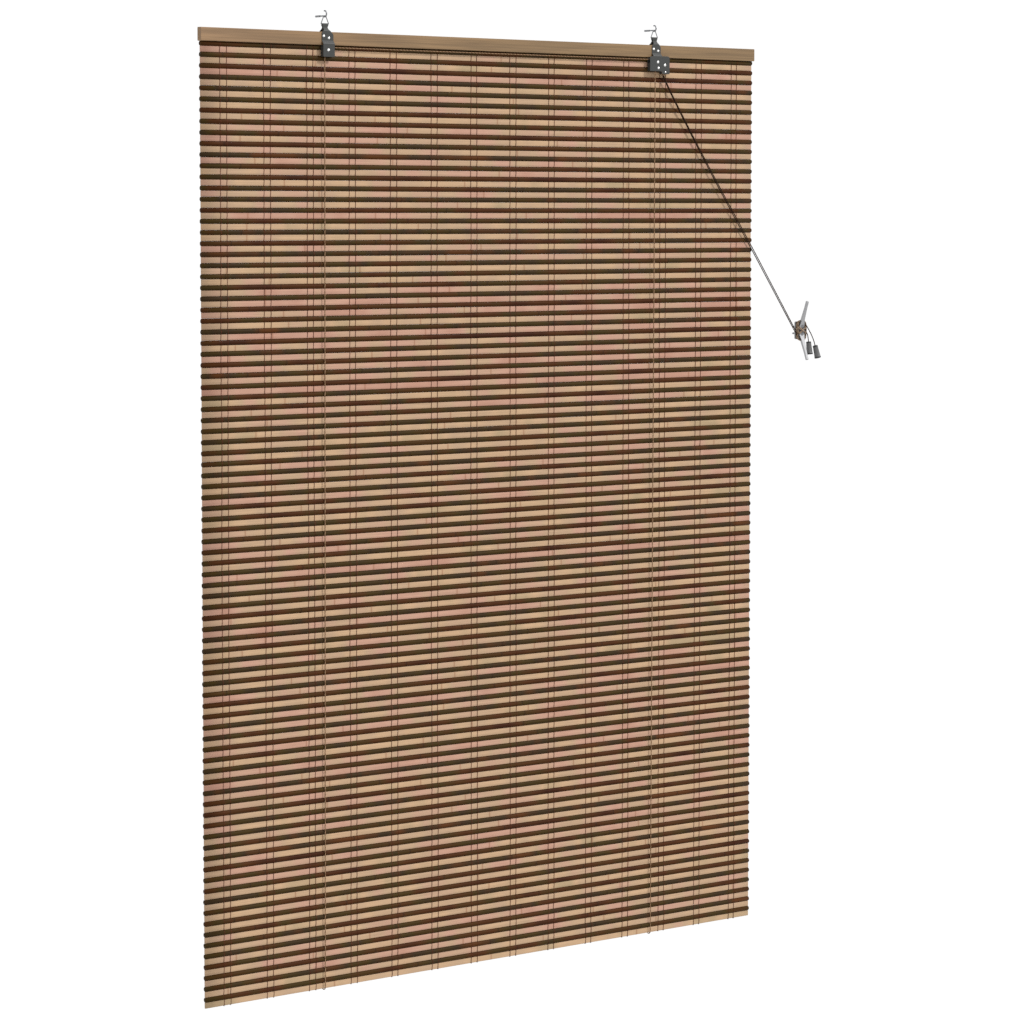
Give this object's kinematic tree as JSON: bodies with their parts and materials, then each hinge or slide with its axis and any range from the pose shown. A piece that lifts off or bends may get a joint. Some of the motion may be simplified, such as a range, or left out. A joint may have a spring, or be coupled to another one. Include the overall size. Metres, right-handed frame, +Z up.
{
  "type": "bamboo roll-up blind",
  "caption": "Woven bamboo roll-up blind with a wooden headrail, pulley brackets hung from screw hooks, lift cords, a cord lock and a wall cleat with the cords wound on it.",
  "frame": {"origin": "on the wall's surface, midway between the two screw hooks, at the height of their shanks", "axes": "+X along the blind's width to the cleat's side, +Y into the wall, +Z up"},
  "size_m": [1.3691, 0.0455, 1.6387],
  "materials": {
    "steel": "bright zinc-plated steel",
    "nickel": "light grey nickel",
    "cord": "twisted cord, tan and brown",
    "cord_end": "grey plastic",
    "rail": "bare bamboo, tan",
    "slat": "light bamboo, slightly pink",
    "rod": "dark smoked bamboo",
    "thread": "dark reddish brown yarn",
    "bracket": "dark grey, satin",
    "wheel": "dark grey plastic"
  },
  "bodies": {
    "wall": {"left_hook": "steel", "right_hook": "steel", "cleat": "nickel", "cleat_screws": "steel", "cleat_winding": "cord", "rear_pull_cord": "cord", "front_pull_cord": "cord", "inner_tail": "cord", "outer_tail": "cord", "inner_cord_end": "cord_end", "outer_cord_end": "cord_end"},
    "rings": {"left_ring": "steel", "right_ring": "steel"},
    "blind": {"headrail": "rail", "staples": "steel", "upper_slats": "slat", "upper_rods": "rod", "upper_threads": "thread", "left_bracket": "bracket", "right_bracket": "bracket", "left_wheel_plate": "bracket", "right_wheel_plate": "bracket", "left_rivets": "steel", "right_rivets": "steel", "left_axle": "steel", "right_axles": "steel", "crossing_cord": "cord", "lock_cord": "cord", "left_front_cord": "cord", "right_front_cord": "cord", "left_back_cord": "cord", "right_back_cord": "cord"},
    "left_wheel": {"left_wheel": "wheel"},
    "right_wheel": {"right_wheel": "wheel"},
    "guide_wheel": {"guide_wheel": "wheel"},
    "lock_axle": {"lock_axle": "steel"},
    "lock_roller": {"lock_roller": "wheel"},
    "row_1": {"row_1_slat": "slat", "row_1_rod": "rod", "row_1_threads": "thread", "row_1_cords": "cord"},
    "row_2": {"row_2_slat": "slat", "row_2_rod": "rod", "row_2_threads": "thread", "row_2_cords": "cord"},
    "row_3": {"row_3_slat": "slat", "row_3_rod": "rod", "row_3_threads": "thread", "row_3_cords": "cord"},
    "row_4": {"row_4_slat": "slat", "row_4_rod": "rod", "row_4_threads": "thread", "row_4_cords": "cord"},
    "row_5": {"row_5_slat": "slat", "row_5_rod": "rod", "row_5_threads": "thread", "row_5_cords": "cord"}
  },
  "joints": [
    {"name": "ring_swing", "type": "hinge", "parent": "wall", "child": "rings", "pos_m": [0, -0.013, 0.00052], "axis": [-1, 0, 0], "range_deg": [0, 12], "deforming": ["rear_pull_cord", "front_pull_cord"]},
    {"name": "blind_swing", "type": "hinge", "parent": "rings", "child": "blind", "pos_m": [0, -0.013, -0.0141], "axis": [-1, 0, 0], "range_deg": [0, 8], "deforming": ["rear_pull_cord", "front_pull_cord"]},
    {"name": "left_wheel_spin", "type": "hinge", "parent": "blind", "child": "left_wheel", "pos_m": [-0.3595, -0.018, -0.0565], "axis": [0, 1, 0], "continuous": true},
    {"name": "right_wheel_spin", "type": "hinge", "parent": "blind", "child": "right_wheel", "pos_m": [0.3605, -0.018, -0.0565], "axis": [0, 1, 0], "continuous": true},
    {"name": "guide_wheel_spin", "type": "hinge", "parent": "blind", "child": "guide_wheel", "pos_m": [0.377, -0.018, -0.0616], "axis": [0, 1, 0], "continuous": true},
    {"name": "lock_slide", "type": "slide", "parent": "blind", "child": "lock_axle", "axis": [0.9074, 0, 0.4203], "range_m": [0, 0.0029]},
    {"name": "lock_spin", "type": "hinge", "parent": "lock_axle", "child": "lock_roller", "pos_m": [0.3617, -0.018, -0.067], "axis": [0, 1, 0], "continuous": true},
    {"name": "roll_1", "type": "hinge", "parent": "blind", "child": "row_1", "pos_m": [0, -0.01285, -1.53684], "axis": [-1, 0, 0], "range_deg": [0, 52], "deforming": ["row_1_threads", "left_front_cord", "right_front_cord"]},
    {"name": "roll_2", "type": "hinge", "parent": "row_1", "child": "row_2", "pos_m": [0, -0.01285, -1.55477], "axis": [-1, 0, 0], "range_deg": [0, 52], "deforming": ["row_2_threads"]},
    {"name": "roll_3", "type": "hinge", "parent": "row_2", "child": "row_3", "pos_m": [0, -0.01285, -1.57271], "axis": [-1, 0, 0], "range_deg": [0, 52], "deforming": ["row_3_threads"]},
    {"name": "roll_4", "type": "hinge", "parent": "row_3", "child": "row_4", "pos_m": [0, -0.01285, -1.59064], "axis": [-1, 0, 0], "range_deg": [0, 52], "deforming": ["row_4_threads"]},
    {"name": "roll_5", "type": "hinge", "parent": "row_4", "child": "row_5", "pos_m": [0, -0.01285, -1.60857], "axis": [-1, 0, 0], "range_deg": [0, 52], "deforming": ["row_5_threads"]}
  ],
  "couplings": [
    {"joint": "roll_2", "follows": "roll_1", "ratio": 1},
    {"joint": "roll_3", "follows": "roll_1", "ratio": 1},
    {"joint": "roll_4", "follows": "roll_1", "ratio": 1},
    {"joint": "roll_5", "follows": "roll_1", "ratio": 1}
  ]
}
